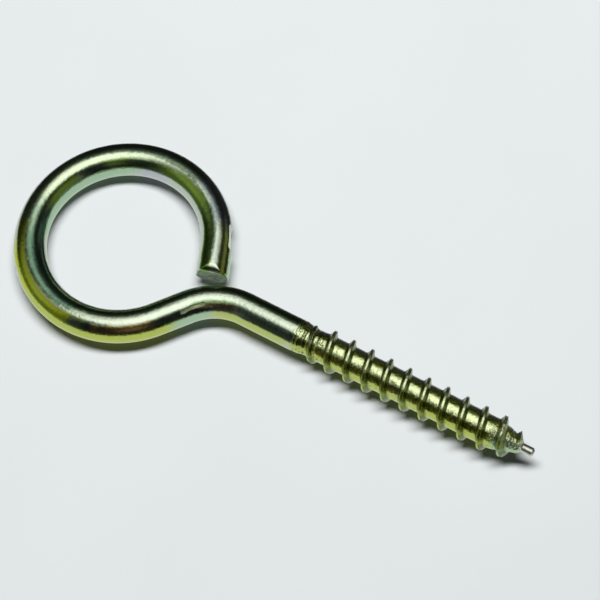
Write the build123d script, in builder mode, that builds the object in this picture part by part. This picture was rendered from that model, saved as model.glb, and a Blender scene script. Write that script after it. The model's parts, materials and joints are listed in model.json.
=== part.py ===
from build123d import *
import os
from math import asin, atan2, cos, degrees, radians, sin

# A screw eye: one length of round steel wire, bent into a ring at one end, with a coarse
# wood thread rolled on the straight shank and a short point with a small nub at the other end.
# It is one piece, with no joints.  The shank points along +X, the eye lies flat, +Z is up, and
# the eye and the thread rest on the floor at Z = 0.

# ---- sizes, in mm and degrees ---------------------------------------------------------------
wire_diameter = 6.35          # the round wire of the eye, the neck and the plain shank
eye_inner_diameter = 29.65    # clear opening of the eye
overall_length = 109.0        # far side of the eye to the end of the nub
shank_offset = 1.25           # how far the shank's axis passes to the neck side of the eye's centre

neck_bend_radius = 12.6       # centre line of the bend between the shank and the eye
neck_leave_angle = 38.0       # where the neck leaves the ring, below the shank's line
end_straight_angle = 23.5     # the ring's arc ends here, above the shank's line, and runs on straight
end_distance = 6.0            # from there to the middle of the cropped face
end_face_angle = 16.0         # way the cropped face looks, from -Y towards +X
end_lean_angle = 3.0          # lean of the face, its foot ahead of its head
end_edge_bevel = 0.25         # broken edge of the cropped face
end_roll_length = 1.8         # the shear drags the head of the wire down over this length
end_roll_depth = 1.0          # and by this much

pinch_angle = 29.0            # middle of the flat that the bending tool left near the free end
pinch_length = 5.2            # length of that flat along the wire
pinch_depth = 0.65            # depth of that flat in the outer side of the wire
pinch_end_round = 0.9         # rounding at the flat's ends

thread_diameter = 7.75        # over the crests
core_diameter = 5.75          # under the thread
thread_pitch = 3.9            # one start, right hand
crest_flat = 0.30             # width of the crest
crest_flank_slope = 0.6       # half-width gained per mm of depth, each side
thread_run_in_start = 39.9    # where the crest leaves the plain shank, from the eye's centre
thread_run_in_turns = 1.0     # turns over which the crest rises to full height
thread_phase_x = 45.0         # a crest passes thread_phase_angle at this distance
thread_phase_angle = 21.0     # angle about the shank's axis, from +Y towards +Z

core_neck_start = 39.3        # the wire starts to neck down to the core here
core_neck_length = 2.2
point_length = 5.25           # from the end of the full core to the nub
point_mid_share = 0.43        # where the point's angle changes, as a share of its length
point_mid_diameter = 4.5
point_end_diameter = 2.7
point_end_cone = 0.30         # last short cone, down to the nub
tip_nub_diameter = 1.70       # the pinched-off nub
tip_nub_length = 2.40
tip_nub_round = 0.35

# ---- derived sizes ----------------------------------------------------------------------------
wire_r = wire_diameter / 2
ring_r = (eye_inner_diameter + wire_diameter) / 2
crest_r = thread_diameter / 2
core_r = core_diameter / 2
nub_r = tip_nub_diameter / 2
tip_x = overall_length - ring_r - wire_r
nub_x = tip_x - tip_nub_length
point_x = nub_x - point_length
axis_y = -shank_offset

# the thread's last turn follows the point
tip_stage_x = [point_x, point_x + 1.05, point_x + 3.78, nub_x + 0.22]
tip_crest_r = [crest_r, crest_r, crest_r - 0.98, nub_r - 0.10]
tip_root_r = [core_r - 0.15, core_r - 0.88, core_r - 1.78, nub_r - 0.35]

# the crests stand out further than the wire, so the piece lies tipped by this angle: it rests
# on the far side of the eye and on the first crest that is low enough
run_in_end = thread_run_in_start + thread_run_in_turns * thread_pitch
first_low_x = thread_phase_x + (270 - 360 - thread_phase_angle) / 360 * thread_pitch
low_crest_x = [first_low_x + k * thread_pitch for k in range(-2, 3)]
crest_rise = [
    (crest_r - wire_r) * min(1, (x - thread_run_in_start) / (run_in_end - thread_run_in_start))
    for x in low_crest_x
]
rest_angle = degrees(asin(max(rise / (x + ring_r) for x, rise in zip(low_crest_x, crest_rise))))
centre_height = wire_r + ring_r * sin(radians(rest_angle))

# the wire's own frame: X along the shank, origin at the centre of the eye; the middle of the
# whole piece is over X = 0
eye_x = ring_r + wire_r - overall_length / 2
wire_plane = Plane(
    origin=(eye_x, 0, centre_height),
    x_dir=(cos(radians(rest_angle)), 0, sin(radians(rest_angle))),
    z_dir=(-sin(radians(rest_angle)), 0, cos(radians(rest_angle))),
)
# the same frame with its Z along the shank, for the thread: X is the eye's side direction
thread_plane = Plane(
    origin=wire_plane.from_local_coords(Vector(0, axis_y, 0)),
    x_dir=wire_plane.y_dir,
    z_dir=wire_plane.x_dir,
)

# where the neck's straight part meets the ring and the bend
leave = radians(neck_leave_angle)
ring_start = Vector(ring_r * cos(leave), -ring_r * sin(leave))
bend_low_y = axis_y - neck_bend_radius * (1 - sin(leave))
straight_length = (bend_low_y - ring_start.Y) / cos(leave)
bend_start = ring_start + Vector(sin(leave), cos(leave)) * straight_length
bend_centre = bend_start + Vector(cos(leave), -sin(leave)) * neck_bend_radius
bend_turn = 90 - neck_leave_angle
shank_start_x = bend_centre.X


def point_in(x, y, z=0.0):
    """A point given in the wire's frame."""
    return wire_plane.from_local_coords(Vector(x, y, z))


def wire_section(x, y, dir_x, dir_y):
    """The plane square to the wire at a point, facing along the wire."""
    along = point_in(x + dir_x, y + dir_y) - point_in(x, y)
    return Plane(origin=point_in(x, y), x_dir=wire_plane.z_dir, z_dir=along)


def thread_line(x0, r0, x1, r1, turns, start_angle):
    """One edge of the thread: a helix on a cylinder or a cone about the shank's axis."""
    slope = degrees(atan2(r1 - r0, x1 - x0))
    step = (x1 - x0) / (turns * cos(radians(slope)))
    line = Edge.make_helix(step, x1 - x0, r0, center=(0, 0, x0), angle=slope).edge()
    return line.rotate(Axis.Z, start_angle)


def corners(x, top_r, root_r):
    """The thread's section at one place: root, crest, crest, root as (x, radius)."""
    half_root = crest_flat / 2 + crest_flank_slope * (top_r - root_r)
    return [(x - half_root, root_r), (x - crest_flat / 2, top_r),
            (x + crest_flat / 2, top_r), (x + half_root, root_r)]


def thread_ridge(stages):
    """The thread's ridge as one closed solid, from a list of (x, crest radius, root radius)."""
    faces = []
    for (xa, ca, ra), (xb, cb, rb) in zip(stages, stages[1:]):
        turns = (xb - xa) / thread_pitch
        angle = thread_phase_angle + 360 * (xa - thread_phase_x) / thread_pitch
        lines = [
            thread_line(p[0], p[1], q[0], q[1], turns, angle)
            for p, q in zip(corners(xa, ca, ra), corners(xb, cb, rb))
        ]
        for i in range(4):
            faces.append(Face.make_surface_from_curves(lines[i], lines[(i + 1) % 4]))
        if xa == stages[0][0]:
            faces.append(Face(Wire.make_polygon([e @ 0 for e in lines], close=True)))
        if xb == stages[-1][0]:
            faces.append(Face(Wire.make_polygon([e @ 1 for e in lines], close=True)))
    return Solid(Shell(faces))


os.makedirs("parts", exist_ok=True)

# ---- the ring, up to the stretch that the tool has marked ---------------------------------------
marked_angle = pinch_angle + degrees(pinch_length / ring_r)
marked = radians(marked_angle)
with BuildPart() as eye_ring:
    with BuildSketch(wire_section(ring_start.X, ring_start.Y, -sin(leave), -cos(leave))):
        Circle(wire_r)
    revolve(axis=Axis(wire_plane.origin, -wire_plane.z_dir),
            revolution_arc=360 - neck_leave_angle - marked_angle)

# ---- the last of the ring, which ends in a short straight and a cropped face --------------------
straight = radians(end_straight_angle)
straight_start = Vector(ring_r * cos(straight), ring_r * sin(straight))
end_run = Vector(sin(straight), -cos(straight))
face_mid = straight_start + end_run * end_distance
face_turn = radians(end_face_angle)
face_lean = radians(end_lean_angle)
with BuildPart() as eye_end:
    with BuildSketch(wire_section(ring_r * cos(marked), ring_r * sin(marked),
                                  sin(marked), -cos(marked))):
        Circle(wire_r)
    revolve(axis=Axis(wire_plane.origin, -wire_plane.z_dir),
            revolution_arc=marked_angle - end_straight_angle)
    with BuildSketch(wire_section(straight_start.X, straight_start.Y, end_run.X, end_run.Y)):
        Circle(wire_r)
    extrude(amount=end_distance + wire_r)
    face_plane = Plane(
        origin=point_in(face_mid.X, face_mid.Y),
        x_dir=point_in(cos(face_turn), sin(face_turn)) - wire_plane.origin,
        z_dir=point_in(sin(face_turn) * cos(face_lean), -cos(face_turn) * cos(face_lean),
                       sin(face_lean)) - wire_plane.origin,
    )
    with BuildSketch(face_plane):
        Rectangle(3 * wire_diameter, 3 * wire_diameter)
    extrude(amount=2 * wire_diameter, mode=Mode.SUBTRACT)
    end_face = eye_end.faces().sort_by_distance(face_plane.origin)[0]
    chamfer(end_face.edges(), end_edge_bevel)
    # the head of the cropped end, rolled over by the shear
    head_plane = Plane(
        origin=face_plane.origin,
        x_dir=point_in(sin(face_turn), -cos(face_turn)) - wire_plane.origin,
        z_dir=point_in(-cos(face_turn), -sin(face_turn)) - wire_plane.origin,
    )
    roll_foot = wire_r - end_roll_depth
    with BuildSketch(head_plane):
        with BuildLine():
            EllipticalCenterArc((-end_roll_length, roll_foot), end_roll_length, end_roll_depth,
                                start_angle=0, arc_size=90)
            Polyline((-end_roll_length, wire_r), (-end_roll_length, wire_diameter),
                     (end_roll_length, wire_diameter), (end_roll_length, roll_foot), (0, roll_foot))
        make_face()
    extrude(amount=wire_diameter, both=True, mode=Mode.SUBTRACT)
    # the flat left by the bending tool
    pinch = radians(pinch_angle)
    pinch_mid = ring_r + wire_r - pinch_depth + wire_r
    with BuildSketch(wire_plane):
        with Locations(Location((pinch_mid * cos(pinch), pinch_mid * sin(pinch)), pinch_angle)):
            RectangleRounded(wire_diameter, pinch_length, pinch_end_round)
    extrude(amount=wire_diameter, both=True, mode=Mode.SUBTRACT)

# ---- the shank, with the thread's core, the point and the nub -----------------------------------
with BuildPart() as shank:
    with BuildSketch(Plane(origin=thread_plane.origin, x_dir=thread_plane.z_dir,
                           z_dir=-thread_plane.y_dir)):
        with BuildLine():
            Polyline(
                (shank_start_x, 0),
                (shank_start_x, wire_r),
                (core_neck_start, wire_r),
                (core_neck_start + core_neck_length, core_r),
                (point_x, core_r),
                (point_x + point_length * point_mid_share, point_mid_diameter / 2),
                (nub_x - point_end_cone, point_end_diameter / 2),
                (nub_x, nub_r),
                (tip_x - tip_nub_round, nub_r),
                (tip_x, nub_r - tip_nub_round),
                (tip_x, 0),
                close=True,
            )
        make_face()
    revolve(axis=Axis(thread_plane.origin, thread_plane.z_dir))

# ---- the thread -----------------------------------------------------------------------------------
stages = [(thread_run_in_start, wire_r - 0.175, core_r - 0.15), (run_in_end, crest_r, core_r - 0.15)]
stages += list(zip(tip_stage_x, tip_crest_r, tip_root_r))
ridge = thread_plane.location * thread_ridge(stages)

with BuildPart() as screw_eye:
    add(shank.part)
    # the bend of the neck and its straight part
    with BuildSketch(wire_section(bend_start.X, bend_start.Y, sin(leave), cos(leave))):
        Circle(wire_r)
    revolve(axis=Axis(point_in(bend_centre.X, bend_centre.Y), -wire_plane.z_dir),
            revolution_arc=bend_turn, clean=False)
    with BuildSketch(wire_section(ring_start.X, ring_start.Y, sin(leave), cos(leave))):
        Circle(wire_r)
    extrude(amount=straight_length, clean=False)
    add(eye_ring.part, clean=False)
    add(eye_end.part, clean=False)
    add(ridge, clean=False)

screw_eye.part.label = "screw_eye"
export_step(screw_eye.part, "parts/screw_eye.step")
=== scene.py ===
import json
import math

import bmesh
import bpy
from mathutils import Matrix, Vector

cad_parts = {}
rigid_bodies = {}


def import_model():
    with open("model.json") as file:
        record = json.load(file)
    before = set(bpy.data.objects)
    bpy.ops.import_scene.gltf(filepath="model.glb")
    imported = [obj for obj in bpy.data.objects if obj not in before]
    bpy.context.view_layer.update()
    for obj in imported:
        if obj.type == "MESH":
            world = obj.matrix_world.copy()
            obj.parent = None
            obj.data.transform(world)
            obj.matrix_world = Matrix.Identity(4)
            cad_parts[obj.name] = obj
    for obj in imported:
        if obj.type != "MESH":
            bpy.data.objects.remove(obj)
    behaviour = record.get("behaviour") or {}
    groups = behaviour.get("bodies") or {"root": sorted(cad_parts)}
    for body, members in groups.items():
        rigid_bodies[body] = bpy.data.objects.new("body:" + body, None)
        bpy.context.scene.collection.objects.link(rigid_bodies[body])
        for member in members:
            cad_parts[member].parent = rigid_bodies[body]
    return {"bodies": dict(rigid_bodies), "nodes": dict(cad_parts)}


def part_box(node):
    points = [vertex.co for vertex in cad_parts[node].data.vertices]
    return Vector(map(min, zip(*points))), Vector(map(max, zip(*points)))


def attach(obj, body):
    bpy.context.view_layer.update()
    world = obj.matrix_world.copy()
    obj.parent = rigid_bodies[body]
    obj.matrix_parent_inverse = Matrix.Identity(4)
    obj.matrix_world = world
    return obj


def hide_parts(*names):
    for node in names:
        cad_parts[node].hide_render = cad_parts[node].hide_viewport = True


bl_info = {
    "name": "Screw eye",
    "version": (1, 0, 0),
    "blender": (4, 5, 0),
    "location": "View3D > Sidebar > Screw eye",
    "description": "Dresses a zinc plated screw eye: bent wire, rolled wood thread, cropped end, studio",
    "category": "Object",
}

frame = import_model()
for thing in set(bpy.data.objects) - set(frame["nodes"].values()) - set(frame["bodies"].values()):
    bpy.data.objects.remove(thing)  # what a new file starts with
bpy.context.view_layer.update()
NODE = "screw_eye"
BODY = "root"
MM = 0.001  # a millimetre, in metres
U_PER_METRE = 10.0  # the UV map's U for each metre along the wire
TRIANGLE_LIMIT = 200000


# ---------------------------------------------------------------- formulas as nodes


class Value:
    """A socket that can stand in a formula like a number."""

    def __init__(self, maker, socket):
        self.maker, self.socket = maker, socket

    def __add__(self, other):
        return self.maker.math("ADD", self, other)

    def __radd__(self, other):
        return self.maker.math("ADD", other, self)

    def __sub__(self, other):
        return self.maker.math("SUBTRACT", self, other)

    def __rsub__(self, other):
        return self.maker.math("SUBTRACT", other, self)

    def __mul__(self, other):
        return self.maker.math("MULTIPLY", self, other)

    def __rmul__(self, other):
        return self.maker.math("MULTIPLY", other, self)

    def __truediv__(self, other):
        return self.maker.math("DIVIDE", self, other)

    def __neg__(self):
        return self.maker.math("MULTIPLY", self, -1.0)


class Maker:
    """Writes nodes into a tree, so that a rule reads as a formula. It serves shapes and materials alike."""

    def __init__(self, tree):
        self.tree = tree

    def feed(self, socket, value):
        if isinstance(value, Value):
            value = value.socket
        if isinstance(value, bpy.types.NodeSocket):
            self.tree.links.new(value, socket)
        else:
            socket.default_value = value

    def node(self, kind, inputs=None, **settings):
        made = self.tree.nodes.new(kind)
        for key, value in settings.items():
            setattr(made, key, value)
        for key, value in (inputs or {}).items():
            self.feed(made.inputs[key], value)
        return made

    def listed(self, kind, values, **settings):
        """A node whose inputs are filled in their order."""
        made = self.node(kind, **settings)
        for socket, value in zip(made.inputs, values):
            self.feed(socket, value)
        return made

    def passed(self, geometry, kind, inputs=None, **settings):
        """Sends geometry through a node, and returns what comes out."""
        made = self.node(kind, inputs, **settings)
        self.feed(made.inputs[0], geometry)
        return made.outputs[0]

    def math(self, operation, *values):
        return Value(self, self.listed("ShaderNodeMath", values, operation=operation).outputs[0])

    def vector(self, x, y, z):
        return self.listed("ShaderNodeCombineXYZ", (x, y, z)).outputs[0]

    def split(self, vector):
        made = self.listed("ShaderNodeSeparateXYZ", (vector,))
        return [Value(self, socket) for socket in made.outputs]

    def dot(self, a, b):
        made = self.listed("ShaderNodeVectorMath", (a, b), operation="DOT_PRODUCT")
        return Value(self, made.outputs["Value"])

    def scale(self, vector, factor):
        made = self.node("ShaderNodeVectorMath", {0: vector, "Scale": factor}, operation="SCALE")
        return made.outputs[0]

    def ramp(self, value, start, end, low=0.0, high=1.0, smooth=False):
        """Goes from low to high while value goes from start to end, and stays level outside."""
        made = self.node(
            "ShaderNodeMapRange",
            {"Value": value, "From Min": start, "From Max": end, "To Min": low, "To Max": high},
            interpolation_type="SMOOTHSTEP" if smooth else "LINEAR",
            clamp=True,
        )
        return Value(self, made.outputs["Result"])

    def path(self, value, points):
        """A line through points (at, height), level before the first and after the last."""
        total = points[0][1]
        for (a, ya), (b, yb) in zip(points, points[1:]):
            total = total + self.ramp(value, a, b, 0.0, yb - ya)
        return total

    def hump(self, value, a, b, c, d):
        """0 before a, 1 from b to c, 0 after d, with soft steps."""
        return self.ramp(value, a, b, smooth=True) * self.ramp(value, c, d, 1.0, 0.0, smooth=True)

    def noise(self, vector, size=1.0, detail=2.0, rough=0.5, kind="FBM"):
        """Noise from about 0 to 1 with features of the given size, in the units of the vector."""
        made = self.node(
            "ShaderNodeTexNoise",
            {"Vector": vector, "Scale": 1.0 / size, "Detail": detail, "Roughness": rough},
            noise_type=kind,
        )
        return Value(self, made.outputs[0])

    def sin(self, v):
        return self.math("SINE", v)

    def cos(self, v):
        return self.math("COSINE", v)

    def tan(self, v):
        return self.math("TANGENT", v)

    def abs(self, v):
        return self.math("ABSOLUTE", v)

    def max(self, a, b):
        return self.math("MAXIMUM", a, b)

    def min(self, a, b):
        return self.math("MINIMUM", a, b)

    def smooth_max(self, a, b, distance):
        return self.math("SMOOTH_MAX", a, b, distance)

    def smooth_min(self, a, b, distance):
        return self.math("SMOOTH_MIN", a, b, distance)

    def coats(self, color, *layers):
        """Lays colours over a first one. Each layer is its share and its colour.

        A colour is a socket or three numbers.
        """
        for share, over in layers:
            made = self.node("ShaderNodeMix", {0: share}, data_type="RGBA", clamp_factor=True)
            for place, tone in ((6, color), (7, over)):  # the node's two colour inputs
                is_socket = isinstance(tone, bpy.types.NodeSocket)
                self.feed(made.inputs[place], tone if is_socket else (*tone, 1.0))
            color = made.outputs[2]  # its colour output
        return color


def new_tree(name, inputs):
    """A Geometry Nodes tree with named inputs. Returns its maker and a table of the inputs' values."""
    tree = bpy.data.node_groups.new(name, "GeometryNodeTree")
    tree.interface.new_socket("Geometry", in_out="OUTPUT", socket_type="NodeSocketGeometry")
    for label, (default, subtype) in inputs.items():
        kind = "NodeSocketInt" if subtype == "COUNT" else "NodeSocketFloat"
        socket = tree.interface.new_socket(label, in_out="INPUT", socket_type=kind)
        if subtype in ("DISTANCE", "ANGLE"):
            socket.subtype = subtype
        socket.default_value = default
    maker = Maker(tree)
    group_input = maker.node("NodeGroupInput")
    return maker, {label: Value(maker, group_input.outputs[label]) for label in inputs}


def tree_inputs(settings):
    """A group's settings as inputs of a tree: each label with its value and its kind."""
    properties = settings.bl_rna.properties
    return {
        properties[key].name: (getattr(settings, key), properties[key].subtype)
        for key in settings.__annotations__
    }


def grown(name, tree):
    """Runs a tree once and keeps its result as a plain mesh, with its place in its vertices."""
    seed_mesh = bpy.data.meshes.new(name + "_seed")
    piece = bpy.data.objects.new(name, seed_mesh)
    bpy.context.scene.collection.objects.link(piece)
    modifier = piece.modifiers.new("shape", "NODES")
    modifier.node_group = tree
    bpy.context.view_layer.update()
    graph = bpy.context.evaluated_depsgraph_get()
    mesh = bpy.data.meshes.new_from_object(piece.evaluated_get(graph), depsgraph=graph)
    mesh.name = name
    piece.modifiers.remove(modifier)
    piece.data = mesh
    bpy.data.meshes.remove(seed_mesh)
    if not mesh.polygons:
        raise RuntimeError(f"{name} came out empty")
    return piece


def check_closed(piece):
    """Raises if the piece has an open edge, is inside out, or is too heavy."""
    shell = bmesh.new()
    shell.from_mesh(piece.data)
    open_edges = sum(1 for e in shell.edges if len(e.link_faces) != 2)
    volume = shell.calc_volume(signed=True)
    triangles = sum(len(f.verts) - 2 for f in shell.faces)
    shell.free()
    print(f"{piece.name}: {triangles} triangles, {volume / MM ** 3:.1f} mm3, {open_edges} open edges")
    if open_edges or volume <= 0 or triangles > TRIANGLE_LIMIT:
        raise RuntimeError(f"{piece.name} isn't a sound shell")


# ---------------------------------------------------------------- settings


def length(name, description, default, high=0.5):
    """A length, given in millimetres and kept in metres."""
    return bpy.props.FloatProperty(
        name=name, description=description, default=default * MM, min=0.0, max=high,
        subtype="DISTANCE", unit="LENGTH", precision=5,
    )


def angle(name, description, default):
    """An angle, given in degrees."""
    return bpy.props.FloatProperty(
        name=name, description=description, default=math.radians(default), subtype="ANGLE", unit="ROTATION"
    )


def amount(name, description, default, low=0.0):
    """A plain number."""
    return bpy.props.FloatProperty(name=name, description=description, default=default, min=low)


def tint(name, description, default):
    """A colour."""
    return bpy.props.FloatVectorProperty(
        name=name, description=description, default=default, size=3, min=0.0, max=1.0, subtype="COLOR"
    )


class ScrewEyeWire(bpy.types.PropertyGroup):
    """Sizes of the bent wire."""

    wire_diameter: length("Wire diameter", "Thickness of the plain wire", 6.35)
    eye_opening: length("Eye opening", "Clear width inside the eye", 29.65)
    overall_length: length("Overall length", "From the outside of the eye to the tip", 108.97)
    end_straight: length("End straight", "Straight run before the cropped end", 6.0)
    end_angle: angle("End angle", "Where round the eye that straight run begins", 23.5)
    face_angle: angle("Face angle", "Direction that the cropped face looks in", 16.0)
    face_lean: angle("Face lean", "How far the cropped face leans back", -5.0)
    neck_angle: angle("Neck angle", "Where round the eye the neck leaves it", 38.0)
    neck_radius: length("Neck bend radius", "Centre-line radius of the bend into the shank", 12.6)
    shank_offset: length("Shank offset", "How far the shank lies to the side of the eye's middle", 1.25)
    notch_angle: angle("Notch angle", "Where round the eye the tool mark is", 29.0)
    notch_length: length("Notch length", "Length of the tool mark", 5.2)
    notch_depth: length("Notch depth", "Depth of the tool mark", 0.65)
    roll_length: length("Roll length", "Stretch over which the shear dragged the end's head down", 1.8)
    roll_depth: length("Roll depth", "How far it dragged the head down", 1.25)
    rest_tilt: angle("Rest tilt", "How far the shank rises when the piece lies down", 0.6486)


class ScrewEyeThread(bpy.types.PropertyGroup):
    """Sizes of the rolled wood thread."""

    outer_diameter: length("Thread diameter", "Over the crests", 7.75)
    root_diameter: length("Root diameter", "Between the ridges", 5.75)
    pitch: length("Pitch", "From crest to crest", 3.9)
    crest_flat: length("Crest flat", "Width of the crest", 0.52)
    flank_slope: amount("Flank slope", "Width that a flank takes for each unit of its height", 0.48)
    start: length("Thread start", "From the middle of the eye to where the ridge begins", 40.7)
    phase_at: length("Crest at", "A place along the shank where the crest is at the crest angle", 45.48)
    phase_angle: angle("Crest angle", "Angle of the crest at that place", 21.0)
    point_length: length("Point length", "Taper from the full root to the nib", 5.25)
    nib_diameter: length("Nib diameter", "Thickness of the small end nib", 1.70)
    nib_length: length("Nib length", "Length of the small end nib", 2.40)
    rolling_marks: length("Rolling marks", "Height of the marks where the thread runs in", 0.45)


class ScrewEyeFinish(bpy.types.PropertyGroup):
    """Colours of the plated finish. Several of them also paint highlight and shade on to the wire."""

    # Partly painted highlight: this palest film is the colour left along the top of the plain wire, where
    # the highlight falls, and its paleness whitens the highlight there. It also tints a band on the thread
    # above the highlight.
    crown: tint("Crown", "Palest film, rubbed along the top of the wire", (0.52, 0.58, 0.40))
    # Partly painted highlight: this paler film lies on the thread's lands where the highlight falls, and
    # paints the lit flanks bright. It also colours the pale scrape in the neck.
    straw: tint("Straw", "Yellowish film on the lands of the thread", (0.60, 0.66, 0.35))
    steel: tint("Pale steel", "Nearly colourless film", (0.52, 0.57, 0.53))
    yellow: tint("Yellow green", "Film on the lower outer side", (0.49, 0.57, 0.12))
    olive: tint("Olive", "Deep yellow film beside the far side of the eye", (0.46, 0.54, 0.01))
    moss: tint("Moss", "Green film on the inner side of the eye", (0.24, 0.40, 0.02))
    green: tint("Dark green", "Dark green film beside the crown", (0.20, 0.34, 0.14))
    # Also painted shade: as the nearly black rows of the film table it paints dark lines and bands beside
    # the highlight and under the neck and shank. It also darkens random specks.
    night: tint("Night green", "Nearly black film under the neck and shank", (0.11, 0.16, 0.10))
    mint: tint("Mint", "Cool film on the inner edge of the eye", (0.40, 0.57, 0.39))
    teal: tint("Teal", "Blue-green film on the far side of the eye", (0.09, 0.20, 0.13))
    slate: tint("Slate", "Blue-grey film near the free end", (0.27, 0.32, 0.33))
    # Painted shade with a random tone: mixed with the dark yellow-green into the darker band below the lit
    # lands.
    umber: tint("Umber", "Brown film between the ridges", (0.40, 0.35, 0.04))
    # Painted shade: darkens the flanks of the ridge, most on the lee side and low on the thread, and the
    # dents and creases where the thread runs in.
    flank: tint("Flanks", "Dark olive film on the flanks of the ridge", (0.10, 0.13, 0.03))
    # Painted shade: this dark yellow-green is no corrosion. It darkens the band just above the lit lands,
    # the band below them and the flanks there.
    verdigris: tint("Verdigris", "Dark yellowish green film beside the lit lands", (0.25, 0.29, 0.02))
    # Painted shade: darkens a line along the foot of each ridge, where the recess lies in shade.
    foot: tint("Foot of the ridge", "Dark film left along the foot of the ridge", (0.07, 0.08, 0.04))
    lilac: tint("Lilac", "Violet-grey film near the free end and behind the thread", (0.50, 0.52, 0.58))
    brown: tint("Brown", "Reddish film under the bends", (0.56, 0.38, 0.12))
    bare: tint("Bare metal", "Greyish metal of the nib", (0.60, 0.61, 0.52))
    face: tint("Cropped face", "Dull face of the cropped end", (0.055, 0.085, 0.045))


class ScrewEyeStage(bpy.types.PropertyGroup):
    """Floor, light and camera."""

    floor: tint("Floor", "Colour of the paper floor", (0.80, 0.84, 0.85))
    light_radiance: amount("Softbox brightness", "Brightness of the softbox overhead", 20.4)
    light_height: length("Softbox distance", "Distance of the softbox from the piece", 800.0, high=5.0)
    light_length: length("Softbox length", "Long side of the softbox", 680.0, high=5.0)
    light_width: length("Softbox width", "Short side of the softbox", 200.0, high=5.0)
    light_lean_away: angle("Softbox lean back", "How far the softbox hangs behind the piece", 11.0)
    light_lean_right: angle("Softbox lean right", "How far the softbox hangs to the right", 1.0)
    ceiling: amount("Ceiling brightness", "Brightness of the ceiling that the metal mirrors", 1.9)
    haze: amount("Ceiling haze", "Brightness of the soft fade round the bright ceiling", 1.0)
    wall: amount("Wall brightness", "Brightness of the walls round the table", 0.38)
    table: amount("Table brightness", "Brightness of the table that the metal mirrors", 0.80)
    room: amount("Room brightness", "Brightness of the dark room", 0.02)
    shadow_fill: amount("Shadow fill", "Share of the room's light that reaches the paper", 0.3)
    bounce: amount("Bounce", "Share of the room's light that the metal throws on to the paper", 0.42)
    camera_distance: length("Camera distance", "From the camera to the point it looks at", 323.7, high=5.0)
    camera_side: angle("Camera azimuth", "Direction of the camera round the object", 33.84)
    camera_height: angle("Camera elevation", "Height of the camera over the horizon", 64.93)
    camera_roll: angle("Camera roll", "Turn of the camera about its own axis", -4.698)
    lens: amount("Lens", "Focal length in millimetres", 102.2, low=10.0)


# ---------------------------------------------------------------- materials


# where the colour changes on the plain wire, later rows lying over earlier ones: colour, strength, along
# the wire from and to in mm, counted from the cropped face, and around it from and to in degrees, counted
# from the inner side of the eye over the top. Some rows are the plating's own patches of colour; the long
# bands that keep to one side of the wire are painted reflection, and the nearly black rows are painted
# shade.
FILM_AND_PAINTED_LIGHT = (
    ("steel", 0.8, -9, 28, -90, 42),
    ("lilac", 0.9, 26, 34, -90, 34),
    ("mint", 1.0, 34, 64, -90, 34),
    ("steel", 0.5, 64, 200, -90, 50),
    ("moss", 0.95, -9, 17, 44, 80),
    ("green", 0.4, -9, 16, 44, 80),
    ("moss", 0.95, 15, 24, 40, 73),
    ("moss", 0.95, 22, 31, 36, 64),
    ("green", 0.9, 28, 36, 36, 62),
    ("moss", 0.8, 35, 42, 34, 62),
    ("night", 0.9, 41, 47, 34, 62),
    ("moss", 0.9, 47, 58, 34, 62),
    ("teal", 0.9, 58, 76, 30, 68),
    ("green", 0.9, 74, 131, 53, 78),
    ("night", 0.7, 82, 131, 56, 68),
    ("lilac", 0.25, 86, 130, 84, 116),
    ("teal", 0.6, 56, 65, 66, 92),
    ("teal", 0.9, 63, 84, 66, 95),
    ("steel", 0.5, -9, 11, 88, 116),
    ("night", 0.8, 4, 15, 78, 90),
    ("night", 0.85, 55, 69, 89, 97),
    ("night", 0.7, 60, 69, 83, 90),
    ("slate", 0.9, 9, 22, 90, 162),
    ("night", 0.85, 20, 29, 82, 150),
    ("olive", 0.7, -9, 9, 114, 150),
    ("mint", 0.8, -9, 9, 150, 230),
    ("night", 0.8, 28, 45, 88, 132),
    ("green", 0.7, 43, 63, 97, 132),
    ("olive", 1.0, 61, 76, 98, 150),
    ("olive", 1.0, 73, 86, 109, 150),
    ("yellow", 0.8, 62, 78, 100, 107),
    ("night", 0.85, 70, 80, 92, 100),
    ("steel", 0.8, 10, 66, 128, 230),
    ("slate", 0.7, 43, 56, 138, 172),
    ("night", 1.0, 85, 90, 108, 147),
    ("brown", 0.95, 89, 99, 115, 147),
    ("night", 0.9, 99, 110, 116, 150),
    ("green", 0.8, 108, 117, 108, 119),
    ("brown", 0.7, 109, 116, 119, 135),
    ("night", 0.95, 117, 130, 112, 148),
    ("yellow", 1.0, 72, 104, 143, 260),
    ("mint", 0.9, 102, 111, 148, 260),
    ("yellow", 0.8, 111, 128, 148, 260),
)

# bands round the thread, in degrees as above, each as it begins, is full, begins to end and has ended. In
# the lit band the flanks are painted bright; the lower band is painted darker.
LIT_BAND = (62.0, 72.0, 104.0, 112.0)
LOWER_BAND = (113.0, 124.0, 143.0, 153.0)
# stretches along the wire, in mm as above
THREAD_BEGINS = (128.0, 129.8)
TIP_BEGINS = (168.5, 171.0)
TWISTED_STRETCH = (128.3, 129.3, 133.5, 137.0)
# the scrape in the bend of the neck, along and around, and its slant in degrees for each mm
SCRAPE_STRETCH = (104.3, 105.0, 109.2, 110.0)
SCRAPE_BAND = (116.0, 121.0, 125.0, 131.0)
SCRAPE_MIDDLE = 107.0
SCRAPE_SLANT = 1.3


def new_material(name):
    """An empty material, and the maker that fills it."""
    material = bpy.data.materials.new(name)
    material.use_nodes = True
    material.node_tree.nodes.clear()
    return material, Maker(material.node_tree)


def end_material(m, inputs):
    """Ends a material in one shader with the given inputs."""
    shader = m.node("ShaderNodeBsdfPrincipled", inputs)
    m.node("ShaderNodeOutputMaterial", {"Surface": shader.outputs[0]})


def place_in_mm(m):
    """A point's place on the object, in mm."""
    return m.scale(m.node("ShaderNodeTexCoord").outputs["Object"], 1 / MM)


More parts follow.
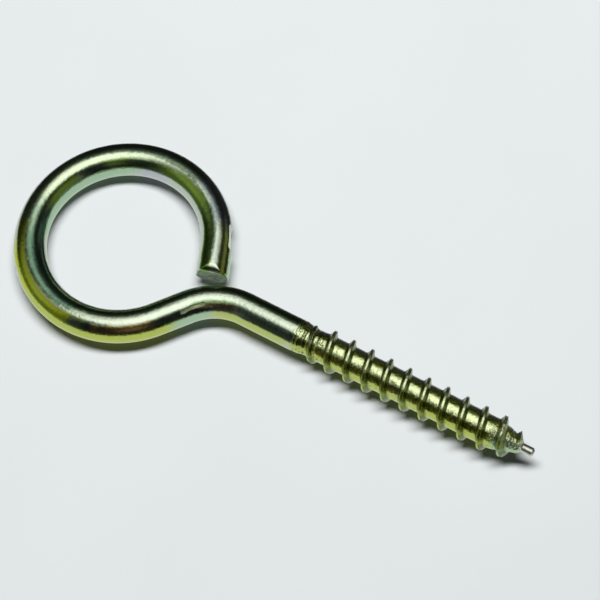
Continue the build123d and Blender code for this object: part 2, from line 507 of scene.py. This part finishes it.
def wire_film_and_painted_light(m, finish, along, side):
    """Colour of the film over the plain wire, with painted reflection and painted shade laid in patches and
    bands round it.
    """
    color = finish.crown
    for name, strength, a, b, low, high in FILM_AND_PAINTED_LIGHT:
        stretch = m.hump(along, a - 2.0, a + 2.0, b - 2.0, b + 2.0)
        band = m.hump(side, low - 5.0, low + 3.0, high - 3.0, high + 5.0)
        color = m.coats(color, (stretch * band * strength, getattr(finish, name)))
    return color


def thread_film_and_painted_light(m, finish, side, cloud, tip, ridge, lee):
    """Colour of the film over the thread, with painted light: bands round the core paint the highlight
    paler and the shade above and below it darker, and the flanks get painted highlight where lit and
    painted shade on the lee side.
    """
    lit = m.hump(side, *LIT_BAND)
    lower = m.hump(side, *LOWER_BAND)
    shaded = m.ramp(side, 136.0, 146.0) * m.ramp(side, 150.0, 160.0, 1.0, 0.6)
    under = m.ramp(side, 158.0, 170.0)
    lower_band_painted_shade = m.coats(finish.verdigris, (m.ramp(cloud, 0.47, 0.60), finish.umber))
    flank = m.ramp(ridge, 0.12, 0.30)
    # painted shade on the flanks: most on their lee side, and in the shaded band low on the thread
    flank_painted_shade = (1.0 - lit) * (lee * (0.2 + 0.65 * under) + 0.05) + lit * lee * 0.3
    flank_painted_shade = flank_painted_shade + shaded * (1.0 - under) * 0.5
    return m.coats(
        finish.straw,
        (m.ramp(side, 143.0, 153.0, smooth=True), finish.yellow),
        # painted shade: a darker band just above the lit lands
        (m.ramp(side, 88.0, 76.0, smooth=True), finish.verdigris),
        # painted shade: a darker band below the lit lands, its tone varying at random
        (lower, lower_band_painted_shade),
        (m.ramp(side, 66.0, 56.0, smooth=True), finish.crown),
        (m.ramp(side, 50.0, 40.0, 0.0, 0.35, smooth=True), finish.lilac),
        (tip * m.ramp(side, 100.0, 125.0, 0.0, 0.8), finish.mint),
        # painted highlight on the lit flanks, painted shade on the flanks lower down and on the lee side
        (flank * lit, finish.straw),
        (flank * lower * 0.8, finish.verdigris),
        (flank * flank_painted_shade, finish.flank),
    )


def plating(finish):
    """Iridescent chromated zinc over drawn wire, with a pale crown and brighter lands that paint in part of
    the highlight, painted shade in dark bands, on the flanks, along the ridges' feet and in creases, and a
    bare nib.
    """
    material, m = new_material("iridescent_zinc_plating")
    place = place_in_mm(m)
    along, around, _ = m.split(m.node("ShaderNodeUVMap", uv_map="UVMap").outputs[0])
    along = along * (1 / (U_PER_METRE * MM))
    turn = around * (2 * math.pi)
    degrees = around * 360.0
    degrees = degrees - m.ramp(degrees, 265.0, 266.0, 0.0, 360.0)  # so that bands can reach down past 0

    def stored(name):
        return Value(m, m.node("ShaderNodeAttribute", attribute_name=name).outputs["Fac"])

    ridge, nib, foot, lee = stored("ridge"), stored("nib"), stored("foot"), stored("lee")

    # unevenness, from coarse to fine, and the lines that drawing left along the wire
    blotch = m.noise(place, 9.0, 3.0, 0.55)
    cloud = m.noise(place, 3.0, 3.0, 0.6)
    fine = m.noise(place, 1.1, 4.0, 0.6)
    creases = m.noise(place, 1.1, 3.0, 0.6, kind="RIDGED_MULTIFRACTAL")
    speck = m.noise(place, 0.55, 2.0, 0.5)
    grain = m.noise(place, 0.22, 3.0, 0.6)
    drawn = m.noise(m.vector(along * 0.10, m.cos(turn) * 3.2, m.sin(turn) * 3.2), 0.35, 3.0, 0.6)

    # where things are, with ragged borders
    uneven = fine - 0.5
    ragged = along + uneven * 3.0
    side = degrees + uneven * 16.0
    threaded = m.ramp(ragged, *THREAD_BEGINS, smooth=True)
    tip = m.ramp(ragged, *TIP_BEGINS, smooth=True)
    cone = tip * (1.0 - nib)
    twisted = m.hump(along + uneven * 2.0, *TWISTED_STRETCH)
    slanted = degrees + uneven * 14.0 + (along - SCRAPE_MIDDLE) * SCRAPE_SLANT
    scrape = m.hump(ragged, *SCRAPE_STRETCH) * m.hump(slanted, *SCRAPE_BAND)

    color = m.coats(
        wire_film_and_painted_light(m, finish, along + (cloud - 0.5) * 9.0 + uneven * 3.0, side),
        (threaded, thread_film_and_painted_light(m, finish, side, cloud, tip, ridge, lee)),
        (m.ramp(blotch, 0.40, 0.68, 0.0, 0.12), finish.mint),
        # painted shade along the foot of each ridge
        (foot * m.ramp(fine, 0.3, 0.6, 0.55, 0.95), finish.foot),
        (m.ramp(speck, 0.60, 0.72) * (0.10 + 0.5 * threaded), finish.night),
        # painted shade in the dents and creases where the thread runs in
        (m.ramp(speck, 0.46, 0.36) * twisted * 0.9, finish.flank),
        (m.ramp(creases, 0.95, 1.25) * twisted * 0.95, finish.flank),
        (scrape, finish.straw),
        (nib, finish.bare),
    )
    rough = (
        0.19
        + m.ramp(fine, 0.35, 0.8, -0.02, 0.05)
        + m.ramp(grain, 0.45, 0.75, 0.0, 0.05)
        + ridge * 0.06
        + threaded * (0.01 + m.ramp(side, 78.0, 66.0) * 0.16)
        + foot * 0.15
        + nib * 0.05
        + tip * 0.05
        + scrape * 0.22
    )
    height = (
        drawn * 0.12
        + fine * (0.45 + 0.30 * threaded + 0.8 * cone)
        + speck * (0.32 + 0.45 * threaded + 2.6 * cone)
        + grain * (0.05 + 0.10 * threaded)
        - creases * twisted * 2.0
        + scrape * (2.6 + speck * 4.0)
    )
    bump = m.node("ShaderNodeBump", {"Strength": 1.0, "Distance": 0.06 * MM, "Height": height})
    end_material(m, {"Base Color": color, "Metallic": 1.0, "Roughness": rough, "Normal": bump.outputs[0]})
    return material


def cropped_face(finish):
    """Dull, finely torn metal where the wire was sheared off."""
    material, m = new_material("cropped_face_metal")
    place = place_in_mm(m)
    x, y, z = m.split(place)
    torn = m.noise(m.vector(x * 0.8, y * 0.8, z * 2.0), 1.1, 4.0, 0.65)
    grain = m.noise(place, 0.18, 3.0, 0.6)
    pale = tuple(min(1.0, c * 3.4) for c in finish.face)
    # a torn mottle, paler towards the top of the face
    color = m.coats(finish.face, (m.ramp(torn + (z - 2.6) * 0.05, 0.47, 0.60), pale))
    height = torn * 1.0 + grain * 0.3
    bump = m.node("ShaderNodeBump", {"Strength": 1.0, "Distance": 0.14 * MM, "Height": height})
    rough = m.ramp(grain, 0.3, 0.7, 0.42, 0.6)
    end_material(m, {"Base Color": color, "Metallic": 0.75, "Roughness": rough, "Normal": bump.outputs[0]})
    return material


def paper(color):
    """Smooth pale paper with a faint mottle."""
    material, m = new_material("pale_paper")
    mottle = m.noise(m.node("ShaderNodeTexCoord").outputs["Object"], 0.05, 2.0, 0.5)
    darker = tuple(c * 0.975 for c in color)
    mixed = m.coats(color, (m.ramp(mottle, 0.3, 0.7), darker))
    end_material(m, {"Base Color": mixed, "Roughness": 0.75, "Specular IOR Level": 0.2})
    return material


# ---------------------------------------------------------------- shapes


COLUMNS = 96  # round the wire
ROWS_PER_TURN = 48  # in the thread
BEVEL = 0.30 * MM  # run of the broken edge of the cropped face
BEVEL_DEPTH = 0.22 * MM  # and how far in it goes
TIP_BEVEL = 0.35 * MM  # rounding of the nib's end
ROLLED_RUN = 1.8 * MM  # stretch of the rolled head, which has closer rows
NOTCHED_RUN = 12 * MM  # from the face to past the notch, which has closer rows than the eye
# rows from the cropped face on, with the run that they cover
CAP_ROWS = 14
END_ROWS = (
    (CAP_ROWS, 0.0),
    (6, BEVEL),
    (20, ROLLED_RUN),
    (70, NOTCHED_RUN - ROLLED_RUN - BEVEL),
)
CAP_OPEN_ROW = 12.0  # here the cap has its full width
EYE_ROWS = 200  # on round the eye to the thread
NIB_ROWS = 24.0
TIP_EDGE_ROWS = 5.0
TIP_CAP_ROWS = 8.0
LEAD_IN = 1.6 * MM  # the rows take up the helix this far before the ridge begins
LEAD_OUT = 0.1 * MM  # and leave it this far past the nib's start
CREST_ROUND = 0.14 * MM  # softening at the crest's edges
FOOT_ROUND = 0.16 * MM  # and at the ridge's foot
HEAD_ROUND = 0.10 * MM  # and where the rolled head begins
NOTCH_ROUND = 0.12 * MM  # and at the notch's edges
FLOW_HEIGHT = 0.10 * MM  # of the light marks over the thread
HAMMER_HEIGHT = 0.50 * MM  # of the folds on the point
PLAIN_HEIGHT = 0.03 * MM  # of the plain wire's unevenness
TORN_HEIGHT = 0.12 * MM  # of the cropped face's tear
SKEW_RUN = 3.5 * MM  # behind the cropped face, the rows turn square to the wire over this run
BURR = 0.30 * MM  # how far the burr stands out from the edge
BURR_BAND = tuple(math.radians(a) for a in (285, 315, 340, 359))


class WireSkin:
    """One closed skin for the whole wire, as formulas on the corners of a grid.

    Its rows run along the bent centre line, and follow the helix in the thread. All steps share these:
    s, the distance along the wire from the cropped face,
    x, the distance along the shank from the middle of the eye,
    turn, the angle round the wire from the inner side of the eye over the top,
    radius, from the centre line to the skin, and later side_off and up_off, its two parts.
    """

    def __init__(self, inputs):
        self.m, self.v = new_tree("screw_eye_wire", inputs)
        self.wire_r = self.v["Wire diameter"] / 2
        self.eye_r = (self.v["Eye opening"] + self.v["Wire diameter"]) / 2
        self.crest_r = self.v["Thread diameter"] / 2
        self.plan_centre_line()
        self.lay_rows()
        self.shape_thread()
        self.mark_thread()
        self.break_edge()
        self.roll_head()
        self.press_notch()
        self.place_on_centre_line()

    def tube(self, along, reach):
        """A point in mm for noise that runs round the wire, on a circle of the given radius."""
        return self.m.vector(along / MM, self.m.cos(self.turn) * reach, self.m.sin(self.turn) * reach)

    def plan_centre_line(self):
        """The runs of the centre line, each as its length, the radius of its bend and the bend's way."""
        m, v, eye_r, neck_r = self.m, self.v, self.eye_r, self.v["Neck bend radius"]
        eye_turn = 2 * math.pi - v["Neck angle"] - v["End angle"]
        neck_turn = math.pi / 2 - v["Neck angle"]
        drop = eye_r * m.sin(v["Neck angle"]) - v["Shank offset"] - neck_r * (1 - m.cos(neck_turn))
        leave = drop / m.sin(neck_turn)
        self.shank_x = (
            eye_r * m.cos(v["Neck angle"]) + leave * m.cos(neck_turn) + neck_r * m.sin(neck_turn)
        )
        self.tip_x = v["Overall length"] - eye_r - self.wire_r
        bent = [
            (v["End straight"], None, 0.0),
            (eye_r * eye_turn, eye_r, 1.0),
            (leave, None, 0.0),
            (neck_r * neck_turn, neck_r, -1.0),
        ]
        self.nib_x = self.tip_x - v["Nib length"]
        self.point_x = self.nib_x - v["Point length"]
        shank_run = self.tip_x - self.shank_x
        self.shank_s = bent[0][0] + bent[1][0] + bent[2][0] + bent[3][0]
        self.total = self.shank_s + shank_run
        self.runs = bent + [(shank_run, None, 0.0)]

    def lay_rows(self):
        """Cap, edge, notch, eye and neck, then helical rows, then the nib and its cap."""
        m, v, pitch = self.m, self.v, self.v["Pitch"]
        index = Value(m, m.node("GeometryNodeInputIndex").outputs[0])
        self.row_corners = v["Columns"] + 1.0
        row = m.math("FLOOR", (index + 0.5) / self.row_corners)
        self.share_round = (index - row * self.row_corners) / v["Columns"]
        self.turn = self.share_round * (2 * math.pi)

        thread_a = self.shank_s + (v["Thread start"] - LEAD_IN) - self.shank_x
        thread_b = self.total - v["Nib length"] + LEAD_OUT
        marks, count, reach = [(0.0, 0.0)], 0, 0.0
        for rows, run in END_ROWS:
            count += rows
            reach += run
            marks.append((float(count), reach))
        helix_row = float(count + EYE_ROWS)
        marks.append((helix_row, thread_a))
        helix_rows = m.math("CEIL", v["Rows per turn"] * ((thread_b - thread_a) / pitch + 1.0))
        nib_row = helix_rows + helix_row
        nib_end = nib_row + NIB_ROWS
        edge_end = nib_end + TIP_EDGE_ROWS
        cap_end = edge_end + TIP_CAP_ROWS
        self.row_count = cap_end + 1.0

        # in the thread, each row climbs by one pitch on its way round, and stops at the thread's ends
        climb = thread_a - pitch + (row - helix_row) * pitch / v["Rows per turn"] + pitch * self.share_round
        climb = m.min(m.max(climb, thread_a), thread_b)
        s = m.path(row, marks) + (climb - thread_a)
        s = s + m.ramp(row, nib_row, nib_end, 0.0, self.total - thread_b - TIP_BEVEL)
        self.s = s + m.ramp(row, nib_end, edge_end, 0.0, TIP_BEVEL)
        self.x = self.s - self.shank_s + self.shank_x
        self.opened = m.ramp(row, 0.0, CAP_OPEN_ROW) * m.ramp(row, edge_end, cap_end, 1.0, 0.0)
        self.on_face = m.ramp(row, CAP_ROWS - 0.6, CAP_ROWS - 0.4, 1.0, 0.0)  # 1 on the cap, then 0

    def shape_thread(self):
        """The core with its point and nib, and the ridge round it."""
        m, v, x = self.m, self.v, self.x
        start, pitch, nib_x, point_x = v["Thread start"], v["Pitch"], self.nib_x, self.point_x
        core_r, nib_r = v["Root diameter"] / 2, v["Nib diameter"] / 2
        core = m.path(
            x,
            [
                (start - 0.6 * MM, self.wire_r),  # the plain wire narrows to the root
                (start + 1.6 * MM, core_r),
                (point_x, core_r),  # the point, in two slopes and a last short cone
                (point_x + v["Point length"] * 0.43, core_r * 0.783),
                (nib_x - 0.3 * MM, core_r * 0.47),
                (nib_x, nib_r),  # the nib, with a rounded end
                (self.tip_x - TIP_BEVEL, nib_r),
                (self.tip_x, nib_r - TIP_BEVEL),
            ],
        )
        wave = m.noise(self.tube(x, 2.0), 3.0, 2.0, 0.5)
        crest = m.path(
            x,
            [
                (start - 1.2 * MM, core_r - 0.6 * MM),  # the ridge comes up out of the wire
                (start, core_r + 0.125 * MM),
                (start + pitch, self.crest_r),
                (point_x + 1.05 * MM, self.crest_r),
                (nib_x - 1.47 * MM, self.crest_r * 0.747),  # it follows the point and sinks into the nib
                (nib_x + 0.22 * MM, 0.75 * MM),
                (nib_x + 0.6 * MM, 0.2 * MM),
            ],
        ) + (wave - 0.5) * (0.10 * MM)

        # distance across the ridge, from the middle of the crest
        at = v["Crest at"] - pitch * v["Crest angle"] / (2 * math.pi)
        turns = (x - at + (wave - 0.5) * (0.15 * MM)) / pitch - self.share_round
        across = (m.math("FRACT", turns + 0.5) - 0.5) * pitch
        flank = crest + (v["Crest flat"] / 2 - m.abs(across)) / v["Flank slope"]
        flank = m.smooth_min(crest, flank, CREST_ROUND)
        self.radius = m.smooth_max(core, flank, FOOT_ROUND)

        # what the plating follows: the ridge's height, its lee side and its foot. The plating paints shade
        # on the lee side and along the foot.
        rise = m.max(crest - core, 0.0)
        raised = m.ramp(rise, 0.15 * MM, 0.6 * MM)
        spread = v["Crest flat"] / 2 + rise * v["Flank slope"] + (wave - 0.5) * (0.25 * MM)
        self.ridge = m.ramp(flank - core, -0.1 * MM, 0.9 * MM)
        self.lee = m.ramp(across, -0.02 * MM, 0.22 * MM, smooth=True) * raised
        self.foot = (
            m.ramp(m.abs(across + spread), 0.10 * MM, 0.26 * MM, 0.9, 0.0, smooth=True)
            + m.ramp(m.abs(across - spread), 0.08 * MM, 0.22 * MM, 0.35, 0.0, smooth=True)
        ) * raised

    def mark_thread(self):
        """Rolling marks where the thread runs in, light ones over the rest, and a hammered point."""
        m, v, x = self.m, self.v, self.x
        start, nib_x, point_x = v["Thread start"], self.nib_x, self.point_x
        # crumple and folds run along the helix
        with_ridge = (x / v["Pitch"] - self.share_round) * (2 * math.pi)
        cos, sin = m.cos(with_ridge), m.sin(with_ridge)
        crumple = m.noise(
            m.vector(cos * 0.62, sin * 0.62, x / MM * 1.5), 0.85, 3.0, 0.55, kind="RIDGED_MULTIFRACTAL"
        )
        folds = m.noise(m.vector(cos * 0.5, sin * 0.5, x / MM + 7.0), 0.8, 1.0, 0.5)
        flow = m.noise(self.tube(x, 2.8), 0.8, 3.0, 0.55)
        plain = m.noise(self.tube(self.s, 3.2), 5.0, 2.0, 0.5)
        run_in = m.hump(x, start - 1.9 * MM, start - 0.9 * MM, start + 2.2 * MM, start + 4.2 * MM)
        rolled = m.hump(x, start, start + 2 * MM, nib_x - 0.5 * MM, nib_x)
        hammered = m.hump(x, point_x, point_x + 0.8 * MM, nib_x - 0.9 * MM, nib_x - 0.1 * MM)
        plain_height = m.ramp(x, start - 2 * MM, start, PLAIN_HEIGHT, 0.0)
        self.radius = (
            self.radius
            + ((crumple - 0.75) * 0.30 + (folds - 0.5)) * run_in * v["Rolling marks"]
            + (flow - 0.5) * rolled * FLOW_HEIGHT
            + (folds - 0.5) * hammered * HAMMER_HEIGHT
            + (plain - 1.1) * plain_height * m.ramp(self.s, 0.0, 2 * MM)  # always inward
        )

    def break_edge(self):
        """A broken edge round the cropped face, with a burr low on the inner side."""
        m, s, turn = self.m, self.s, self.turn
        edge = m.ramp(s, 0.0, BEVEL, 1.0, 0.0)
        burr = m.hump(turn, *BURR_BAND)
        radius = self.radius - edge * edge * (BEVEL_DEPTH - burr * BURR)
        radius = radius + burr * m.ramp(s, 0.1 * MM, 1.3 * MM, BURR, 0.0, smooth=True)
        self.side_off = radius * m.cos(turn)
        self.up_off = radius * m.sin(turn)

    def roll_head(self):
        """The shear dragged the head of the wire down."""
        m, v, s = self.m, self.v, self.s
        tear = m.noise(m.vector(self.side_off / MM, 0.0, 4.0), 0.8, 2.0, 0.5)
        drag = m.max(1.0 - s / (v["Roll length"] * (0.85 + tear * 0.3)), 0.0)
        drop = v["Roll depth"] * (1.0 - m.math("SQRT", m.max(1.0 - drag * drag, 0.0)))
        head = self.wire_r - drop + (tear - 0.5) * (0.25 * MM) * drag
        # behind the roll, this limit rises out of the way
        head = head + m.ramp(s, v["Roll length"], v["Roll length"] * 1.6, 0.0, self.crest_r)
        self.up_off = m.smooth_min(self.up_off, head, HEAD_ROUND)

    def press_notch(self):
        """The bending tool pressed the outer side of the eye flat, near the free end."""
        m, v = self.m, self.v
        middle = v["End straight"] + self.eye_r * (v["Notch angle"] - v["End angle"])
        half = v["Notch length"] / 2
        a, d = middle - half, middle + half
        pressed = m.hump(self.s, a - 0.25 * MM, a + 0.55 * MM, d - 0.9 * MM, d)
        # away from the notch, the wall that presses stands clear of the wire
        wall = self.wire_r - v["Notch depth"] * pressed + m.ramp(pressed, 0.0, 0.04, self.crest_r, 0.0)
        self.side_off = m.smooth_max(self.side_off, -wall, NOTCH_ROUND) * self.opened
        self.up_off = self.up_off * self.opened

    def face_shift(self):
        """How far each corner moves along the wire, since the cropped face lies skewed and is torn."""
        m, v = self.m, self.v
        skew = v["End angle"] - v["Face angle"]
        torn = m.noise(m.vector(self.side_off / MM, self.up_off / MM, 0.0), 1.2, 3.0, 0.6)
        shift = self.side_off * m.tan(skew) + self.up_off * m.tan(v["Face lean"]) / m.cos(skew)
        shift = shift * m.ramp(self.s, 0.0, SKEW_RUN, 1.0, 0.0)
        return shift + (torn - 0.5) * m.ramp(self.s, 0.0, BEVEL, TORN_HEIGHT, 0.0)

    def place_on_centre_line(self):
        """Follows the centre line from the cropped face, run by run, and steps off it to the skin."""
        m, v, eye_r = self.m, self.v, self.eye_r
        shift = self.face_shift()
        px = eye_r * m.cos(v["End angle"]) + v["End straight"] * m.sin(v["End angle"])
        py = eye_r * m.sin(v["End angle"]) - v["End straight"] * m.cos(v["End angle"])
        heading = v["End angle"] + math.pi / 2
        now = heading
        done = 0.0
        for run, bend_r, way in self.runs:
            gone = m.ramp(self.s, done, run + done, 0.0, run)
            if way:
                turned = gone / bend_r * way
                px = px + (m.sin(heading + turned) - m.sin(heading)) * bend_r * way
                py = py + (m.cos(heading) - m.cos(heading + turned)) * bend_r * way
                now = now + turned
                heading = heading + run / bend_r * way
            else:
                px = px + gone * m.cos(heading)
                py = py + gone * m.sin(heading)
            done = run + done
        px = px + shift * m.cos(now) - self.side_off * m.sin(now)
        py = py + shift * m.sin(now) + self.side_off * m.cos(now)
        self.place = m.vector(px, py, self.up_off)


def wire_tree(inputs, material, face_material):
    """The tree that makes the whole wire, laid down on the floor and dressed."""
    skin = WireSkin(inputs)
    m, v = skin.m, skin.v
    grid = m.node(
        "GeometryNodeMeshGrid",
        {"Size X": 1.0, "Size Y": 1.0, "Vertices X": skin.row_count, "Vertices Y": skin.row_corners},
    )
    map_at_points = m.node("GeometryNodeFieldOnDomain", domain="POINT", data_type="FLOAT_VECTOR")
    m.feed(map_at_points.inputs[0], m.vector(skin.s * U_PER_METRE, skin.turn / (2 * math.pi), 0.0))
    store = "GeometryNodeStoreNamedAttribute"
    body = m.passed(
        grid.outputs["Mesh"],
        store,
        {"Name": "UVMap", "Value": map_at_points.outputs[0]},
        data_type="FLOAT2",
        domain="CORNER",
    )
    for name, value in (
        ("ridge", skin.ridge),
        ("foot", skin.foot),
        ("lee", skin.lee),
        ("nib", m.ramp(skin.x, skin.nib_x - 0.5 * MM, skin.nib_x + 0.1 * MM, smooth=True)),
        ("face", skin.on_face),
    ):
        body = m.passed(body, store, {"Name": name, "Value": value}, data_type="FLOAT", domain="POINT")
    body = m.passed(body, "GeometryNodeSetPosition", {"Position": skin.place})
    body = m.passed(body, "GeometryNodeMergeByDistance", {"Distance": 0.001 * MM})
    body = m.passed(body, "GeometryNodeFlipFaces")
    body = m.passed(body, "GeometryNodeSetShadeSmooth")
    tilt = m.listed("FunctionNodeEulerToRotation", (m.vector(0.0, -v["Rest tilt"], 0.0),))
    laid = {"Translation": m.vector(v["Place along"], 0.0, v["Place up"]), "Rotation": tilt.outputs[0]}
    body = m.passed(body, "GeometryNodeTransform", laid)

    body = m.passed(body, "GeometryNodeRealizeInstances")
    body = m.passed(body, "GeometryNodeSetMaterial", {"Material": material})
    on_face = m.node("GeometryNodeInputNamedAttribute", {"Name": "face"}, data_type="FLOAT")
    chosen = m.listed(
        "FunctionNodeCompare", (on_face.outputs[0], 0.6), data_type="FLOAT", operation="GREATER_THAN"
    )
    faced = {"Material": face_material, "Selection": chosen.outputs[0]}
    body = m.passed(body, "GeometryNodeSetMaterial", faced)
    m.node("NodeGroupOutput", {0: body})
    return m.tree


# ---------------------------------------------------------------- stage


FLOOR_HALF_SIDE = 1.5
CAMERA_TARGET = Vector((1.69 * MM, 6.68 * MM, 0.0))
SENSOR_WIDTH = 36.0  # in mm
ROOM_COLOR = (0.97, 1.0, 0.98, 1.0)
# soft lights of the room, as the metal mirrors them. Each has its azimuth and elevation from the camera's
# right, the angles from there where it is full and where it ends, all in degrees, then the setting that
# gives its brightness and the share of it that it takes
GLOWS = (
    (175, 44, 8, 30, "wall", 1.0),
    (195, 14, 12, 40, "wall", 0.4),
    (-32, 25, 10, 34, "wall", 0.6),
    (-93, 38, 4, 16, "wall", 0.5),
    (48, 58, 4, 14, "wall", 1.9),
    (18, 15, 6, 16, "wall", 0.5),
    (80, 70, 12, 44, "haze", 0.12),
)
CEILING_GLOWS = (
    (60, 87, 15, 27, "ceiling", 1.0),
    (80, 70, 4, 25, "haze", 1.4),
    (-110, 80, 8, 27, "haze", 1.0),
)
DARK_PATCHES = ((240, 38, 8, 24), (292, 38, 5, 16))
DARKENING = 0.85
TABLE_AZIMUTH = 70  # from the camera's right, in degrees: the bright table reaches up least here


def ground_axes(stage):
    """The camera's right, and the way that it looks, both on the floor."""
    side = stage.camera_side
    return Vector((math.cos(side), math.sin(side), 0.0)), Vector((-math.sin(side), math.cos(side), 0.0))


def lay_floor(scene, stage):
    """A wide sheet of pale paper."""
    mesh = bpy.data.meshes.new("floor")
    shell = bmesh.new()
    bmesh.ops.create_grid(shell, x_segments=8, y_segments=8, size=FLOOR_HALF_SIDE)
    shell.to_mesh(mesh)
    shell.free()
    mesh.materials.append(paper(stage.floor))
    floor = bpy.data.objects.new("floor", mesh)
    scene.collection.objects.link(floor)
    floor.visible_glossy = False  # the metal mirrors the even table of the room's light instead
    floor.visible_shadow = False


def hang_softbox(scene, stage, right, away):
    """An oval softbox overhead, which throws the shadow."""
    light = bpy.data.lights.new("softbox", "AREA")
    light.shape = "ELLIPSE"
    light.size, light.size_y = stage.light_length, stage.light_width
    area = math.pi * light.size * light.size_y / 4
    light.energy = stage.light_radiance * math.pi * area
    lamp = bpy.data.objects.new("softbox", light)
    over = right * math.tan(stage.light_lean_right) + away * math.tan(stage.light_lean_away)
    over = (over + Vector((0, 0, 1))).normalized()
    lamp.location = over * stage.light_height
    across = (right - over * right.dot(over)).normalized()
    lamp.rotation_euler = Matrix((across, over.cross(across), over)).transposed().to_euler()
    lamp.visible_camera = False
    lamp.visible_glossy = False  # the metal mirrors the even glow of the room instead
    scene.collection.objects.link(lamp)


def light_room(scene, stage, right, away):
    """Lights the dark room by direction. The metal mirrors all of it, the paper gets only a share."""
    world = bpy.data.worlds.new("dim_room")
    scene.world = world
    world.use_nodes = True
    world.node_tree.nodes.clear()
    m = Maker(world.node_tree)
    look = m.node("ShaderNodeTexCoord").outputs["Generated"]

    def spot(azimuth, elevation, inner, outer, strength):
        a, e = math.radians(azimuth), math.radians(elevation)
        way = (right * math.cos(a) + away * math.sin(a)) * math.cos(e) + Vector((0, 0, math.sin(e)))
        full, ended = math.cos(math.radians(inner)), math.cos(math.radians(outer))
        return m.ramp(m.dot(look, way), ended, full, 0.0, strength, smooth=True)

    def glow_of(azimuth, elevation, inner, outer, setting, share):
        return spot(azimuth, elevation, inner, outer, getattr(stage, setting) * share)

    glow = sum(glow_of(*light) for light in GLOWS)
    for patch in DARK_PATCHES:
        glow = glow * (1.0 - spot(*patch, DARKENING))
    ceiling = glow_of(*CEILING_GLOWS[0])
    for light in CEILING_GLOWS[1:]:
        ceiling = m.max(ceiling, glow_of(*light))

    table = math.radians(TABLE_AZIMUTH)
    toward_table = m.dot(look, right * math.cos(table) + away * math.sin(table))
    _, _, up_part = m.split(look)
    table_edge = up_part + m.ramp(toward_table, 0.10, 0.75, 0.04, 0.56)
    glow = glow + m.ramp(table_edge, -0.05, 0.03, stage.table, 0.0, smooth=True) + stage.room

    path = m.node("ShaderNodeLightPath").outputs
    at_paper = Value(m, path["Is Diffuse Ray"])
    from_paper = m.min(Value(m, path["Diffuse Depth"]), 1.0)
    glow = glow * (1.0 - at_paper * (1.0 - stage.shadow_fill))
    glow = m.max(glow, ceiling * (1.0 - at_paper))
    glow = glow * (1.0 - from_paper * (1.0 - stage.bounce))
    background = m.node("ShaderNodeBackground", {"Color": ROOM_COLOR, "Strength": glow})
    m.node("ShaderNodeOutputWorld", {"Surface": background.outputs[0]})


def set_camera(scene, stage, right, away):
    """The camera looks down on the piece from its azimuth and elevation."""
    up = stage.camera_height
    back = -away * math.cos(up) + Vector((0, 0, math.sin(up)))
    data = bpy.data.cameras.new("camera")
    data.lens = stage.lens
    data.sensor_width = SENSOR_WIDTH
    camera = bpy.data.objects.new("camera", data)
    scene.collection.objects.link(camera)
    camera.location = CAMERA_TARGET + back * stage.camera_distance
    top = back.cross(right).normalized()
    roll = stage.camera_roll
    camera_x = right * math.cos(roll) + top * math.sin(roll)
    camera_y = top * math.cos(roll) - right * math.sin(roll)
    camera.rotation_euler = Matrix((camera_x, camera_y, back)).transposed().to_euler()
    scene.camera = camera
    scene.view_settings.view_transform = "Standard"


# ---------------------------------------------------------------- operators


class SCREWEYE_OT_wire(bpy.types.Operator):
    """Makes the bent wire with its thread, point, notch and cropped end"""

    bl_idname = "screweye.wire"
    bl_label = "Make the wire"

    def execute(self, context):
        wire, thread = context.scene.screw_eye_wire, context.scene.screw_eye_thread
        finish = context.scene.screw_eye_finish
        low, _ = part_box(NODE)
        wire_r = wire.wire_diameter / 2
        eye_r = (wire.eye_opening + wire.wire_diameter) / 2
        inputs = {
            **tree_inputs(wire),
            **tree_inputs(thread),
            "Place along": (low.x + eye_r + wire_r, "DISTANCE"),
            "Place up": (wire_r + eye_r * math.sin(wire.rest_tilt), "DISTANCE"),
            "Columns": (COLUMNS, "COUNT"),
            "Rows per turn": (ROWS_PER_TURN, "COUNT"),
        }
        piece = grown("eye_wire", wire_tree(inputs, plating(finish), cropped_face(finish)))
        check_closed(piece)
        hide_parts(NODE)
        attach(piece, BODY)
        return {"FINISHED"}


class SCREWEYE_OT_stage(bpy.types.Operator):
    """Lays the floor, hangs the softbox, lights the room and sets the camera"""

    bl_idname = "screweye.stage"
    bl_label = "Make the stage"

    def execute(self, context):
        scene = context.scene
        stage = scene.screw_eye_stage
        right, away = ground_axes(stage)
        lay_floor(scene, stage)
        hang_softbox(scene, stage, right, away)
        light_room(scene, stage, right, away)
        set_camera(scene, stage, right, away)
        return {"FINISHED"}


class SCREWEYE_PT_panel(bpy.types.Panel):
    """Lists the steps and the sizes"""

    bl_label = "Screw eye"
    bl_space_type = "VIEW_3D"
    bl_region_type = "UI"
    bl_category = "Screw eye"

    def draw(self, context):
        for operator in (SCREWEYE_OT_wire, SCREWEYE_OT_stage):
            self.layout.operator(operator.bl_idname)
        for group in ("screw_eye_wire", "screw_eye_thread", "screw_eye_finish", "screw_eye_stage"):
            settings = getattr(context.scene, group)
            box = self.layout.box()
            for name in settings.__annotations__:
                box.prop(settings, name)


GROUPS = {
    "screw_eye_wire": ScrewEyeWire,
    "screw_eye_thread": ScrewEyeThread,
    "screw_eye_finish": ScrewEyeFinish,
    "screw_eye_stage": ScrewEyeStage,
}
CLASSES = (*GROUPS.values(), SCREWEYE_OT_wire, SCREWEYE_OT_stage, SCREWEYE_PT_panel)


def register():
    for kind in CLASSES:
        bpy.utils.register_class(kind)
    for name, kind in GROUPS.items():
        setattr(bpy.types.Scene, name, bpy.props.PointerProperty(type=kind))


def unregister():
    for name in GROUPS:
        delattr(bpy.types.Scene, name)
    for kind in reversed(CLASSES):
        bpy.utils.unregister_class(kind)


def main():
    register()
    bpy.ops.screweye.wire()
    bpy.ops.screweye.stage()


if __name__ == "__main__":
    main()
